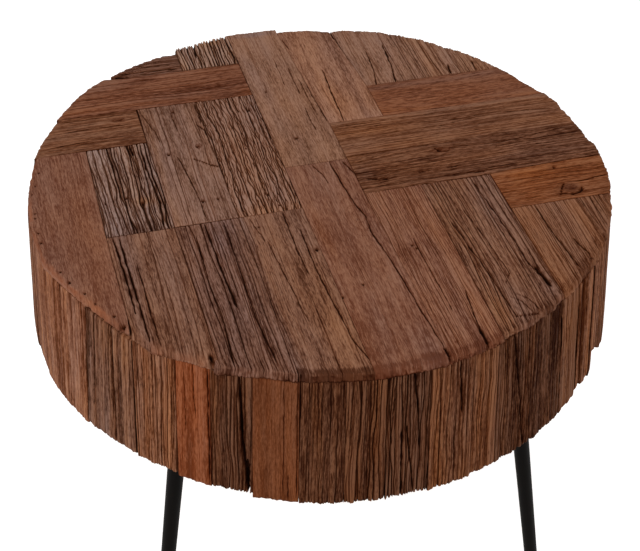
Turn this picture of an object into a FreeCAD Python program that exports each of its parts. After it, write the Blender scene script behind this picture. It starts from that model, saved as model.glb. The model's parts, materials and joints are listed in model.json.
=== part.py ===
import FreeCAD
import Part
import math
import os

Vector = FreeCAD.Vector

# Round coffee table: a patchwork of old boards over a drum of upright staves,
# on four splayed tapered steel legs.
# Lengths are millimetres. The origin is on the floor under the middle of the top.
# +X and +Y run along the two directions of the patchwork's joints.

# Whole table
table_height = 420.0
top_radius = 302.0
drum_height = 152.0
overrun = 20.0

# Patchwork top
tile_thickness = 7.0
tile_gap = 0.5
rim_bevel = 4.0
short_board_inset = 6.0

# Ring of staves, which leans out towards the bottom
stave_stand_out = 0.5
stave_lean_out = 6.0
stave_thickness = 20.0
stave_gap = 0.8
seat_gap = 0.3
first_stave_angle = 207.0
staves_per_node = 3

# Boards and ribs inside the drum
board_thickness = 15.0
bottom_board_recess = 8.0
rib_thickness = 18.0
rib_end_gap = 6.0
rib_slot_fit = 0.3

# Legs, measured square to the leg's axis
leg_count = 4
first_leg_angle = 40.8
leg_splay = 10.7
leg_inset = 63.4
leg_top_radius = 9.3
leg_foot_radius = 7.0
leg_wall = 1.6

# Mounting plates
plate_side = 62.0
plate_thickness = 4.0
plate_corner_radius = 8.0
plate_setback = 9.0
plate_screw_margin = 9.0

# Glides under the legs
glide_height = 4.0
glide_rim = 0.8
glide_edge_radius = 1.0
glide_plug_length = 12.0
glide_plug_fit = 0.3

# Wood screws
screw_length = 12.0
screw_shank_radius = 2.0
screw_head_radius = 4.2
screw_head_height = 2.4
screw_head_edge = 0.8
screw_hole_fit = 0.2
screw_drive_width = 1.1
screw_drive_length = 4.6
screw_drive_depth = 1.2
rib_screw_length = 30.0
rib_screws_per_side = 2

# Joint lines of the patchwork as shares of the top radius: columns A to K from left to right,
# rows a to l from front to back. The first and last line of each lie outside the rim.
column_names = "ABCDEFGHIJK"
column_shares = (-1.05, -0.762, -0.536, -0.32, -0.102, 0.122, 0.325, 0.53, 0.576, 0.812, 1.05)
row_names = "abcdefghijkl"
row_shares = (-1.05, -0.325, -0.152, -0.122, 0.086, 0.099, 0.315, 0.355, 0.523, 0.571, 0.792, 1.05)

# Each board of the patchwork lies between a left and a right column line,
# and between a front and a back row line.
tile_lines = {
    "tile_left_red": "ABah",
    "tile_left_cross_brown": "AChj",
    "tile_left_cross_red": "AEjk",
    "tile_left_cross_sliver": "ADkl",
    "tile_back_gnarled": "DEkl",
    "tile_ridged_grey": "BCch",
    "tile_taupe": "CDcj",
    "tile_grooved_tan": "DEcj",
    "tile_back_wide": "EFel",
    "tile_back_pink": "FGgl",
    "tile_back_cracked": "GHil",
    "tile_back_right_grooved": "HKil",
    "tile_right_cross_red": "GKgi",
    "tile_right_cross_tan": "FKfg",
    "tile_right_cross_dark": "FKdf",
    "tile_right_orange": "IKbd",
    "tile_front_right_brown": "IJab",
    "tile_front_right_sliver": "JKab",
    "tile_front_right_long": "GIad",
    "tile_front_pink": "FGad",
    "tile_front_centre": "EFae",
    "tile_front_light": "DEac",
    "tile_front_purple": "CDac",
    "tile_front_left_brown": "BCac",
}
short_tile = "tile_back_pink"

# Widths of the staves as shares of the ring, anticlockwise from the first stave's edge
stave_width_shares = (
    13.0, 8.9, 6.6, 7.6, 8.2, 7.9, 7.4, 7.9, 8.5, 5.4, 8.6, 9.2, 6.0, 6.4, 10.4,
    7.5, 9.0, 6.5, 8.5, 10.0, 7.0, 8.0, 6.0, 9.5, 8.0, 7.0, 10.5, 6.5, 8.5, 7.5,
    9.0, 5.5, 8.5, 7.0, 9.5, 8.0, 6.5, 10.0, 7.5, 8.5, 6.0, 8.0, 7.5, 8.5, 8.0,
)

# Radii and heights that several pieces share
stave_top_radius = top_radius + stave_stand_out
stave_bottom_radius = stave_top_radius + stave_lean_out
leg_top_reach = stave_bottom_radius - leg_inset
plate_reach = leg_top_reach - plate_setback
tile_low = table_height - tile_thickness
drum_low = table_height - drum_height
top_board_low = tile_low - board_thickness
bottom_board_low = drum_low + bottom_board_recess
bottom_board_high = bottom_board_low + board_thickness
plate_low = bottom_board_low - plate_thickness
rib_height = top_board_low - bottom_board_high


def outer_radius(height):
    lean = (stave_bottom_radius - stave_top_radius) / (tile_low - drum_low)
    return stave_bottom_radius - lean * (height - drum_low)


def inner_radius(height):
    return outer_radius(height) - stave_thickness


rib_reach = min(inner_radius(top_board_low), inner_radius(bottom_board_high)) - rib_end_gap


def turned(points):
    profile = Part.makePolygon([Vector(x, 0, z) for x, z in points + points[:1]])
    return Part.Face(profile)


# Patchwork top

def top_disc(radius):
    profile = turned([
        (0, tile_low),
        (radius, tile_low),
        (radius, table_height - rim_bevel),
        (radius - rim_bevel, table_height),
        (0, table_height),
    ])
    return profile.revolve(Vector(0, 0, 0), Vector(0, 0, 1), 360)


def column(name):
    return column_shares[column_names.index(name)] * top_radius


def row(name):
    return row_shares[row_names.index(name)] * top_radius


def tile(name):
    left, right, front, back = tile_lines[name]
    low_x = column(left) + tile_gap / 2
    low_y = row(front) + tile_gap / 2
    width = column(right) - column(left) - tile_gap
    depth = row(back) - row(front) - tile_gap
    block = Part.makeBox(width, depth, tile_thickness, Vector(low_x, low_y, tile_low))
    inset = short_board_inset if name == short_tile else 0
    return block.common(top_disc(top_radius - inset))


# Staves

def stave(start, width):
    side_gap = math.degrees(stave_gap / stave_bottom_radius)
    profile = turned([
        (inner_radius(drum_low), drum_low),
        (outer_radius(drum_low), drum_low),
        (outer_radius(tile_low), tile_low),
        (inner_radius(tile_low), tile_low),
    ])
    board = profile.revolve(Vector(0, 0, 0), Vector(0, 0, 1), width - side_gap)
    board.rotate(Vector(0, 0, 0), Vector(0, 0, 1), start + side_gap / 2)
    return board


def staves():
    degrees_per_share = 360 / sum(stave_width_shares)
    start = first_stave_angle
    ring = []
    for share in stave_width_shares:
        width = share * degrees_per_share
        ring.append(stave(start, width))
        start += width
    return ring


# Wood screws, with the head's flat underside at the given place and the shank along the direction

def wood_screw(place, direction, length):
    up = direction.z
    shank = Part.makeCylinder(screw_shank_radius, length, place, direction)
    head = Part.makeCylinder(screw_head_radius, screw_head_height, place, direction * -1)
    crown = [edge for edge in head.Edges if edge.BoundBox.ZLength < screw_head_edge
             and (edge.BoundBox.Center.z - place.z) * up < 0]
    head = head.makeFillet(screw_head_edge, crown)
    face = place - direction * screw_head_height
    for along, across in ((screw_drive_length, screw_drive_width), (screw_drive_width, screw_drive_length)):
        groove = Part.makeBox(along, across, 2 * screw_drive_depth,
                              face - Vector(along / 2, across / 2, screw_drive_depth))
        head = head.cut(groove)
    return head.fuse(shank).removeSplitter()


def screw_hole(place, direction, length):
    start = place - direction * screw_hole_fit
    depth = length + 2 * screw_hole_fit
    return Part.makeCylinder(screw_shank_radius + screw_hole_fit, depth, start, direction)


# Boards and ribs inside the drum

def rib_screw_places(height):
    places = []
    spacing = rib_reach / (rib_screws_per_side + 1)
    for step in range(1, rib_screws_per_side + 1):
        reach = step * spacing
        places += [Vector(reach, 0, height), Vector(-reach, 0, height)]
        places += [Vector(0, reach, height), Vector(0, -reach, height)]
    return places


up = Vector(0, 0, 1)
down = Vector(0, 0, -1)
top_screw_places = rib_screw_places(tile_low - screw_head_height)
bottom_screw_places = rib_screw_places(bottom_board_low)


def drum_board(low):
    high = low + board_thickness
    return Part.makeCone(inner_radius(low) - seat_gap, inner_radius(high) - seat_gap, board_thickness,
                         Vector(0, 0, low))


def top_board():
    board = drum_board(top_board_low)
    for place in top_screw_places:
        head_hole = Part.makeCylinder(screw_head_radius + screw_hole_fit, screw_head_height + overrun, place)
        board = board.cut(screw_hole(place, down, rib_screw_length)).cut(head_hole)
    return board


def bottom_board():
    board = drum_board(bottom_board_low)
    for place in bottom_screw_places:
        board = board.cut(screw_hole(place, up, rib_screw_length))
    for place in plate_screw_places():
        board = board.cut(screw_hole(place, up, screw_length))
    return board


def rib(slot_low):
    board = Part.makeBox(2 * rib_reach, rib_thickness, rib_height,
                         Vector(-rib_reach, -rib_thickness / 2, bottom_board_high))
    slot_width = rib_thickness + 2 * rib_slot_fit
    slot_height = rib_height / 2 + rib_slot_fit
    corner = Vector(-slot_width / 2, -slot_width / 2, slot_low)
    slot = Part.makeBox(slot_width, slot_width, slot_height, corner)
    return board.cut(slot)


def drill_for_screws(board):
    for place in top_screw_places:
        board = board.cut(screw_hole(place, down, rib_screw_length))
    for place in bottom_screw_places:
        board = board.cut(screw_hole(place, up, rib_screw_length))
    return board


def rib_across():
    return drill_for_screws(rib(bottom_board_high + rib_height / 2 - rib_slot_fit))


def rib_lengthwise():
    board = rib(bottom_board_high)
    board.rotate(Vector(0, 0, 0), up, 90)
    return drill_for_screws(board)


# Legs, made at angle zero and turned into place

leg_angles = [first_leg_angle + 360 / leg_count * number for number in range(leg_count)]
leg_axis = Vector(math.sin(math.radians(leg_splay)), 0, -math.cos(math.radians(leg_splay)))
leg_head = Vector(leg_top_reach, 0, plate_low)
leg_length = (plate_low - glide_height) / math.cos(math.radians(leg_splay))
leg_foot = leg_head + leg_axis * leg_length


def turned_to(shape, angle):
    shape.rotate(Vector(0, 0, 0), up, angle)
    return shape


def leg_cone(wall):
    taper = (leg_top_radius - leg_foot_radius) / leg_length
    return Part.makeCone(leg_top_radius - wall + taper * overrun, leg_foot_radius - wall - taper * overrun,
                         leg_length + 2 * overrun, leg_head - leg_axis * overrun, leg_axis)


def leg(angle):
    reach = leg_foot.x + overrun
    slab = Part.makeBox(reach, 2 * reach, plate_low - glide_height, Vector(0, -reach, glide_height))
    tube = leg_cone(0).cut(leg_cone(leg_wall)).common(slab)
    return turned_to(tube, angle)


def glide(angle):
    flange = Part.makeCylinder(leg_foot_radius + glide_rim, glide_height, Vector(leg_foot.x, 0, 0))
    floor_edges = [edge for edge in flange.Edges if edge.BoundBox.ZMax < glide_height / 2]
    flange = flange.makeFillet(glide_edge_radius, floor_edges)
    start = leg_foot + leg_axis * (glide_height / 2)
    plug = Part.makeCylinder(leg_foot_radius - leg_wall - glide_plug_fit,
                             glide_plug_length + glide_height / 2, start, leg_axis * -1)
    return turned_to(flange.fuse(plug).removeSplitter(), angle)


def plate_screws_at_zero():
    half = plate_side / 2 - plate_screw_margin
    return [Vector(plate_reach + x, y, plate_low) for x in (-half, half) for y in (-half, half)]


def plate_screw_places():
    places = []
    for angle in leg_angles:
        turn = FreeCAD.Rotation(up, angle)
        places += [turn.multVec(place) + up * plate_thickness for place in plate_screws_at_zero()]
    return places


def leg_plate(angle):
    corner = Vector(plate_reach - plate_side / 2, -plate_side / 2, plate_low)
    plate = Part.makeBox(plate_side, plate_side, plate_thickness, corner)
    upright_edges = [edge for edge in plate.Edges if edge.BoundBox.ZLength > plate_thickness / 2]
    plate = plate.makeFillet(plate_corner_radius, upright_edges)
    for place in plate_screws_at_zero():
        plate = plate.cut(screw_hole(place, up, plate_thickness))
    return turned_to(plate, angle)


def leg_plate_screws():
    screws = []
    for place in plate_screw_places():
        screws.append(wood_screw(place - up * plate_thickness, up, screw_length + plate_thickness))
    return Part.makeCompound(screws)


def rib_screws(places, direction):
    return Part.makeCompound([wood_screw(place, direction, rib_screw_length) for place in places])


# Every node by name

nodes = {}
for name in tile_lines:
    nodes[name] = tile(name)

ring = staves()
for first in range(0, len(ring), staves_per_node):
    number = first // staves_per_node + 1
    nodes["stave_group_%02d" % number] = Part.makeCompound(ring[first:first + staves_per_node])

nodes["top_board"] = top_board()
nodes["bottom_board"] = bottom_board()
nodes["rib_across"] = rib_across()
nodes["rib_lengthwise"] = rib_lengthwise()
nodes["top_board_screws"] = rib_screws(top_screw_places, down)
nodes["bottom_board_screws"] = rib_screws(bottom_screw_places, up)
nodes["leg_plate_screws"] = leg_plate_screws()

for number, angle in enumerate(leg_angles, 1):
    nodes["leg_%d" % number] = leg(angle)
    nodes["leg_plate_%d" % number] = leg_plate(angle)
    nodes["leg_glide_%d" % number] = glide(angle)

os.makedirs("parts", exist_ok=True)
for name, shape in nodes.items():
    shape.exportStep("parts/%s.step" % name)
    print(name, len(shape.Solids), shape.isValid(), round(shape.Volume))
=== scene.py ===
import json
import math

import bpy
import numpy as np
from mathutils import Matrix, Vector


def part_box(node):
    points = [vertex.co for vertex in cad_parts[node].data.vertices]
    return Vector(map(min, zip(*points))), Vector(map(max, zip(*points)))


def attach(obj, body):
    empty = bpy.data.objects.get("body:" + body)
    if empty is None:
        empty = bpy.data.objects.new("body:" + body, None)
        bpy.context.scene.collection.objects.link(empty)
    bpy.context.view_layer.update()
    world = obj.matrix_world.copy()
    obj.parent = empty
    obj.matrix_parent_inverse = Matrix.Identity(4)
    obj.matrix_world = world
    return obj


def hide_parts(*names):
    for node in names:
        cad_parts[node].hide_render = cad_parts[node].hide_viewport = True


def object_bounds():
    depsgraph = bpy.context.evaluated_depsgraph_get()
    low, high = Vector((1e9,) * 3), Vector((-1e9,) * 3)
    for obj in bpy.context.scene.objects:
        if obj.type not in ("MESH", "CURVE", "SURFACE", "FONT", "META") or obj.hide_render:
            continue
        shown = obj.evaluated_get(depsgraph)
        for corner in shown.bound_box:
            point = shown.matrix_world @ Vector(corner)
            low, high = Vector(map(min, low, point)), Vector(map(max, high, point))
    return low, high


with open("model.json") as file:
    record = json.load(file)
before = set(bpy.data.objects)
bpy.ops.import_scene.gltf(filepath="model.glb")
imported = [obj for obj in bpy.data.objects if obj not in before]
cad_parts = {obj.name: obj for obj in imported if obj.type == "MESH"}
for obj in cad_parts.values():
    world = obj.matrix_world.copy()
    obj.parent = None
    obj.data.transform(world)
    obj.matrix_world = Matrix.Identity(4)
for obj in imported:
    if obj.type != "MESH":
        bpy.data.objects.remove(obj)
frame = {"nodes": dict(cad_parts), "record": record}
cad_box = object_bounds()
slots = {row["node"]: row["material_slot"] for row in frame["record"]["subparts"]}

# The boards' surfaces are worked out in millimetres and turned to metres at the end.
MM = 0.001


def box_mm(node):
    low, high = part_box(node)
    return np.array(low) / MM, np.array(high) / MM


# Sizes read from the frame
TOP_MM = cad_box[1][2] / MM
RIM_MM = -box_mm("tile_left_red")[0][0]
TILE_LOW_MM = box_mm("tile_taupe")[0][2]
DRUM_LOW_MM = box_mm("stave_group_01")[0][2]
DRUM_BOTTOM_RADIUS_MM = cad_box[1][0] / MM
STAVE_STAND_OUT_MM = 0.5
DRUM_TOP_RADIUS_MM = RIM_MM + STAVE_STAND_OUT_MM
STAVE_THICKNESS_MM = 20.0

# Spacing of the points of the boards' faces
ACROSS_STEP_MM = 0.45
ALONG_STEP_MM = 2.0


# Smooth random fields

class Field:
    """Value noise on a lattice, smooth between its points, the same in each run."""

    SIZE = 256

    def __init__(self, seed):
        self.values = np.random.default_rng(seed).random((self.SIZE, self.SIZE))

    def __call__(self, x, y):
        x, y = np.broadcast_arrays(np.asarray(x, float), np.asarray(y, float))
        column, row = np.floor(x).astype(int), np.floor(y).astype(int)
        u, v = x - column, y - row
        u, v = u * u * (3 - 2 * u), v * v * (3 - 2 * v)
        left, right = column % self.SIZE, (column + 1) % self.SIZE
        low, high = row % self.SIZE, (row + 1) % self.SIZE
        grid = self.values
        near = grid[low, left] * (1 - u) + grid[low, right] * u
        far = grid[high, left] * (1 - u) + grid[high, right] * u
        return near * (1 - v) + far * v

    def layered(self, x, y, layers=2):
        """Noise in octaves, about zero."""
        total, weight = 0.0, 1.0
        for layer in range(layers):
            scale = 2 ** layer
            total = total + weight * (self(x * scale + 37 * layer, y * scale + 17 * layer) - 0.5)
            weight *= 0.55
        return total

    def steps(self, x, seed):
        """Random values with sharp steps between them."""
        place = np.asarray(x, float)
        cell = np.floor(place).astype(int)
        share = smooth_step(0.8, 1.0, place - cell)
        row = self.values[int(seed) % self.SIZE]
        return row[cell % self.SIZE] * (1 - share) + row[(cell + 1) % self.SIZE] * share


def smooth_step(low, high, value):
    share = np.clip((value - low) / (high - low), 0, 1)
    return share * share * (3 - 2 * share)


def bump(value):
    return np.exp(-value ** 2)


def distance_to_path(x, y, path):
    """Distance to an open path, and how far along it the nearest place is, from 0 to 1."""
    points = np.array(path, float)
    lengths = np.hypot(*np.diff(points, axis=0).T)
    starts = np.concatenate([[0], np.cumsum(lengths)])
    best = np.full(np.shape(x), np.inf)
    along = np.zeros(np.shape(x))
    for index, (start, end) in enumerate(zip(points[:-1], points[1:])):
        step = end - start
        share = np.clip(((x - start[0]) * step[0] + (y - start[1]) * step[1]) / (step @ step), 0, 1)
        away = np.hypot(x - start[0] - share * step[0], y - start[1] - share * step[1])
        nearer = away < best
        best = np.where(nearer, away, best)
        along = np.where(nearer, (starts[index] + share * lengths[index]) / starts[-1], along)
    return best, along


def between(place, pairs, **ends):
    """The value at a place, from a flat row of places and values in turn."""
    return np.interp(place, pairs[::2], pairs[1::2], **ends)


# Cracks of a board: x and y of each bend in turn

def crack(half_width_mm, depth_mm, *bends):
    return list(zip(bends[::2], bends[1::2])), half_width_mm, depth_mm


def fine(*bends):
    return crack(0.42, 0.9, *bends)


def medium(*bends):
    return crack(0.62, 1.5, *bends)


def wide(*bends):
    return crack(1.0, 2.6, *bends)


# The surface of a weathered board

# Sets of long open lines along the grain: spacing, share of each line that is open, half width, depth,
# darkness, sideways sway as a share of the spacing, and the length over which a line changes, in mm
SURFACES = {
    "smooth": ((9.0, 0.24, 0.36, 0.45, 0.50, 0.30, 90), (2.6, 0.34, 0.32, 0.18, 0.37, 0.30, 40)),
    "lined": ((5.0, 0.50, 0.38, 1.00, 0.80, 0.30, 80), (2.0, 0.52, 0.32, 0.34, 0.55, 0.32, 30)),
    "combed": ((3.6, 0.80, 0.36, 0.60, 0.95, 0.32, 60), (1.8, 0.70, 0.32, 0.30, 0.80, 0.32, 20)),
    "grooved": ((3.8, 0.72, 0.43, 1.70, 1.00, 0.36, 52), (1.8, 0.64, 0.34, 0.65, 0.75, 0.34, 24)),
    "ridged": ((3.3, 0.90, 0.52, 2.30, 1.00, 0.42, 42), (1.6, 0.66, 0.36, 1.05, 0.85, 0.36, 22)),
    "deep": ((3.5, 1.25, 0.72, 2.40, 1.40, 0.45, 28), (1.7, 0.74, 0.38, 1.10, 1.00, 0.32, 12)),
    "choppy": ((3.1, 0.90, 0.50, 2.10, 1.20, 0.46, 16), (1.6, 0.82, 0.38, 1.10, 1.10, 0.50, 6)),
    "gnarled": ((3.0, 1.20, 0.58, 2.60, 1.40, 0.34, 22), (1.6, 0.66, 0.36, 1.10, 1.00, 0.46, 8)),
    "banded": ((4.2, 0.80, 0.62, 0.80, 0.68, 0.40, 60), (2.1, 0.72, 0.36, 0.55, 0.75, 0.34, 18)),
}


class Board:
    """How one board is worn: a height in millimetres and shares of groove, stain, tone and warmth.

    Strips are a place across the grain, half width, tone and warmth. Patches are a place, a half length
    in x and in y, tone and warmth. A warmth that is left out is zero. Knots are a place, length, width
    and hollow, holes a place and radius, and rings a place, spacing, reach and strength.
    """

    def __init__(self, seed, surface="smooth", wander=2.5, ripple=0.4, bands=0.5, tone=0.0, pits=0.0,
                 warmth=0.0, cracks=(), knots=(), holes=(), rings=(), strips=(), patches=(), along_x=False):
        self.field = Field(seed)
        self.wear = Field(seed + 1000)
        self.seed = seed
        self.line_sets = SURFACES[surface]
        self.wander, self.ripple, self.bands, self.pits = wander, ripple, bands, pits
        self.tone, self.warmth = tone, warmth
        self.strips = [(*strip, 0)[:4] for strip in strips]
        self.patches = [(*patch, 0)[:6] for patch in patches]
        self.cracks, self.knots, self.holes, self.rings = cracks, knots, holes, rings
        self.along_x = along_x

    def from_spot(self, x, y, spot_x, spot_y):
        """Distance along and across the grain from a spot."""
        if self.along_x:
            return x - spot_x, y - spot_y
        return y - spot_y, x - spot_x

    def bent(self, along, across, x, y):
        """The place across the grain, bent where the grain wanders and flows round a knot."""
        place = across + self.wander * self.wear.layered(along / 95, across / 45)
        place = place + self.ripple * self.wear.layered(along / 15 + 50, across / 7)
        for spot_x, spot_y, long_mm, wide_mm, hollow_mm in self.knots:
            reach, side = self.from_spot(x, y, spot_x, spot_y)
            pull = bump(reach / (1.8 * long_mm)) * bump(side / (2.6 * wide_mm))
            place = place - 0.8 * wide_mm * pull * np.tanh(side / (0.6 * wide_mm))
        return place

    def open_lines(self, bent, along, spacing, share, width, sway, reach):
        """Cracks along the grain. Each has its own place and strength, and opens and closes on its way."""
        place = bent / spacing
        nearest = np.floor(place)
        best = np.zeros(np.shape(bent))
        for step in (-1, 0, 1):
            line = nearest + step
            shift = 0.7 * (self.field(line * 11 + 5, 60.0) - 0.5)
            shift = shift + sway * (2 * self.field(line * 7 + 3, along / reach + 0.37 * line) - 1)
            away = np.abs(place - line - 0.5 - shift) * spacing
            strength = self.wear(line * 13 + 7, 60.0)
            chance = 0.6 * self.field(line * 5 + 91, along / (2.2 * reach) + 0.61 * line) + 0.4 * strength
            opened = smooth_step(0.63 - 0.42 * share, 0.80 - 0.42 * share, chance)
            wide = width * (0.4 + 0.5 * strength + 0.7 * self.wear(line * 3 + 17, along / (0.7 * reach)))
            best = np.maximum(best, opened * (0.5 + 0.5 * strength) * bump(away / wide))
        return best

    def surface(self, along, across, x, y):
        field, wear = self.field, self.wear
        bent = self.bent(along, across, x, y)
        height = 0.3 * wear.layered(x / 55, y / 55) + 0.14 * field.layered(bent / 1.6, along / 22)
        stain = np.zeros(np.shape(x))
        tone = self.tone + self.bands * (field.layered(bent / 12 + 70, along / 300 + 20)
                                         + 0.7 * field.layered(bent / 4 + 30, along / 130))
        tone = tone + 0.45 * wear.layered(x / 48 + 7, y / 48 + 3)
        warmth = np.full(np.shape(x), float(self.warmth))
        tints = [(bump((bent - place) / half_width), *changes)
                 for place, half_width, *changes in self.strips]
        tints += [(bump((x - spot_x) / half_x) * bump((y - spot_y) / half_y), *changes)
                  for spot_x, spot_y, half_x, half_y, *changes in self.patches]
        for share, tone_change, warmth_change in tints:
            tone = tone + tone_change * share
            warmth = warmth + warmth_change * share

        groove = np.zeros(np.shape(x))

        def cut(depth, share):
            """Take a depth off the surface, and make it a groove by that share."""
            nonlocal height, groove
            height = height - depth
            groove = np.maximum(groove, share)

        for spacing, share, width, depth, darkness, sway, reach in self.line_sets:
            opened = self.open_lines(bent, along, spacing, share, width, sway, reach)
            cut(depth * opened, np.minimum(1, opened * darkness))

        if self.pits:
            spot = smooth_step(1.0 - self.pits, 1.08 - self.pits, field(bent / 1.5 + 9, along / 4.0 + 4))
            cut(0.3 * spot, 0.5 * spot)

        for path, width_mm, depth_mm in self.cracks:
            jitter = 0.9 * wear.layered(x / 9 + 3, y / 9 + 8, 3)
            away, share = distance_to_path(x + jitter, y + jitter, path)
            width = width_mm * (0.5 + 1.0 * field(share * 17 + self.seed, 5.0))
            width = width * np.minimum(1, 10 * np.minimum(share, 1 - share) + 0.4)
            slit = bump(away / width)
            cut(depth_mm * slit, np.minimum(1, 1.25 * slit))
            tone = tone - 0.3 * bump(away / (3.0 * width))

        for spot_x, spot_y, long_mm, wide_mm, hollow_mm in self.knots:
            reach, side = self.from_spot(x, y, spot_x, spot_y)
            out = np.hypot(reach / long_mm, side / wide_mm) + 0.35 * field.layered(x / 5, y / 5 + 44)
            core = 1 - smooth_step(0.5, 1.0, out)
            rim = bump((out - 1.05) / 0.18)
            cut(hollow_mm * core * (0.5 + field(x / 2.5, y / 2.5)) - 0.35 * rim,
                np.maximum(0.85 * core * field(x / 2.2, y / 2.2), 0.6 * rim))
            stain = np.maximum(stain, bump(out / 1.2))

        for spot_x, spot_y, spacing_mm, reach_mm, strength in self.rings:
            reach, side = self.from_spot(x, y, spot_x, spot_y)
            out = np.hypot(reach * 0.55, side) + 3 * field.layered(x / 14 + 6, y / 14)
            fade = bump(out / reach_mm)
            line = np.maximum(0, np.cos(out * 2 * math.pi / spacing_mm)) ** 6
            cut(0, strength * line * fade)

        for spot_x, spot_y, radius_mm in self.holes:
            away = np.hypot(x - spot_x, y - spot_y) * (1 + 0.5 * field.layered(x / 1.5, y / 1.5))
            pit = 1 - smooth_step(0.6 * radius_mm, 1.2 * radius_mm, away)
            cut(1.5 * radius_mm * pit, pit)
            stain = np.maximum(stain, 0.5 * bump(away / (2.2 * radius_mm)))

        return height, groove, stain, tone, warmth, bent


# Meshes

def add_object(name, data):
    added = bpy.data.objects.new(name, data)
    bpy.context.scene.collection.objects.link(added)
    return added


def mesh_object(name, vertices, quads, polygons=()):
    """A smooth-shaded mesh from numpy vertices in metres, an array of quads and a few larger polygons."""
    mesh = bpy.data.meshes.new(name)
    loops = np.concatenate([quads.ravel()] + [np.array(polygon) for polygon in polygons]).astype(np.int32)
    totals = np.array([4] * len(quads) + [len(polygon) for polygon in polygons])
    starts = np.concatenate([[0], np.cumsum(totals)[:-1]]).astype(np.int32)
    mesh.vertices.add(len(vertices))
    mesh.vertices.foreach_set("co", vertices.astype(np.float32).ravel())
    mesh.loops.add(len(loops))
    mesh.loops.foreach_set("vertex_index", loops)
    mesh.polygons.add(len(totals))
    mesh.polygons.foreach_set("loop_start", starts)
    mesh.polygons.foreach_set("use_smooth", np.ones(len(totals), bool))
    mesh.update(calc_edges=True)
    mesh.validate()
    return add_object(name, mesh)


def set_attributes(piece, numbers, along, bent, seed):
    """Keep the board's wear and the flow of its grain on the points, for its material."""
    for name, values in numbers.items():
        attribute = piece.data.attributes.new(name, "FLOAT", "POINT")
        attribute.data.foreach_set("value", values.astype(np.float32))
    grain = np.stack([along * MM, bent * MM, np.full(len(along), seed * 0.37)], -1)
    attribute = piece.data.attributes.new("grain", "FLOAT_VECTOR", "POINT")
    attribute.data.foreach_set("vector", grain.astype(np.float32).ravel())


def numbered(rows, columns):
    return np.arange(rows * columns).reshape(rows, columns)


def grid_quads(rows, columns):
    index = numbered(rows, columns)
    return np.stack([index[:-1, :-1], index[:-1, 1:], index[1:, 1:], index[1:, :-1]], -1).reshape(-1, 4)


def spread(length_mm, step_mm, edge_steps):
    """Shares from 0 to 1, close together near both ends and step_mm apart between them."""
    edge = np.array(edge_steps)
    count = max(2, int((length_mm - 2 * edge[-1]) / step_mm))
    inner = np.linspace(edge[-1], length_mm - edge[-1], count)
    return np.concatenate([edge[:-1], inner, length_mm - edge[:-1][::-1]]) / length_mm


# Patchwork top

# Heights of the wall rows as shares of the way down, and how dark each row is painted: painted shade that
# deepens towards the wall's foot, where the rim meets the staves
WALL_SHARES = (0.12, 0.4, 0.68, 0.85, 1.0)
WALL_PAINTED_SHADE = (0.05, 0.12, 0.2, 0.4, 0.65)
END_STEPS_MM = (0.0, 0.25, 0.6, 1.1, 1.8, 2.8, 4.2, 6.0)
SIDE_STEPS_MM = (0.0, 0.3, 0.7)
JOINT_EASE_MM = 0.12
RIM_REACH_MM = 12
WALL_REACH_MM = 6
CLEAR_OF_RIM_MM = 2.0

# How much of the face's wear, and of the painted shade along its rim, its walls take over
FACE_ON_WALLS = {"stain": 0.3, "tone": 0.6, "warmth": 1.0, "edge": 0.8}

rim_field = Field(7)


class Tile:
    """One board of the top.

    Low and high shifts move a long edge sideways, as places along the grain and shifts in turn. The rim
    is one shift outwards, or azimuths and shifts in turn. The bevel is the width and height worn off the
    rim's edge. The band is the edge face below it: its tone, darkening and bare wood. It flares outwards.
    The shade is the width and tone of a strip along the rim that is painted darker, as painted shade of a
    worn, rounded edge. Seams is how dark the joints are. The wear is what Board takes.
    """

    def __init__(self, name, colour, seed, surface, along_x=False, rim=0.0, lift=0.0, ragged=1.0,
                 low_shifts=(0, 0), high_shifts=(0, 0), bevel=(1.8, 1.6), band=(-0.4, 0.15, 0.3),
                 flare=0.0, shade=(5.0, 0.0), seams=1.0, **wear):
        self.node, self.colour, self.along_x = "tile_" + name, colour, along_x
        self.board = Board(seed, surface, along_x=along_x, **wear)
        self.rim = rim if isinstance(rim, tuple) else (0, rim)
        self.lift, self.ragged, self.bevel, self.band, self.flare = lift, ragged, bevel, band, flare
        self.low_shifts, self.high_shifts, self.shade, self.seams = low_shifts, high_shifts, shade, seams
        self.smallest = min(*self.rim[1::2], 0)
        self.radius = RIM_MM + self.smallest


def tile_grid(tile):
    """Places along and across the grain for the points of the board's face, and the board's four limits."""
    low, high = box_mm(tile.node)
    a, c = (0, 1) if tile.along_x else (1, 0)
    nearest = min(abs(low[a]), abs(high[a])) if low[a] * high[a] > 0 else 0
    limit = math.sqrt(tile.radius ** 2 - nearest ** 2) - 0.3
    c_low, c_high = max(low[c], -limit), min(high[c], limit)
    weight = spread(c_high - c_low, ACROSS_STEP_MM, SIDE_STEPS_MM)
    column = c_low + (c_high - c_low) * weight
    half = np.sqrt(np.maximum(tile.radius ** 2 - column ** 2, 0))
    a_low, a_high = np.maximum(low[a], -half), np.minimum(high[a], half)
    share = spread((a_high - a_low).max(), ALONG_STEP_MM, END_STEPS_MM)[:, None]
    along = a_low + (a_high - a_low) * share
    left = c_low - JOINT_EASE_MM + between(along, tile.low_shifts)
    right = c_high + JOINT_EASE_MM + between(along, tile.high_shifts)
    across = left + (right - left) * weight
    return along, across, (left, right, a_low, a_high)


def outline_of(rows, columns):
    index = numbered(rows, columns)
    return np.concatenate([index[0, :-1], index[:-1, -1], index[-1, :0:-1], index[:0:-1, 0]])


def moved_out(x, y, angle, shift):
    return x + shift * np.cos(angle), y + shift * np.sin(angle)


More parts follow.
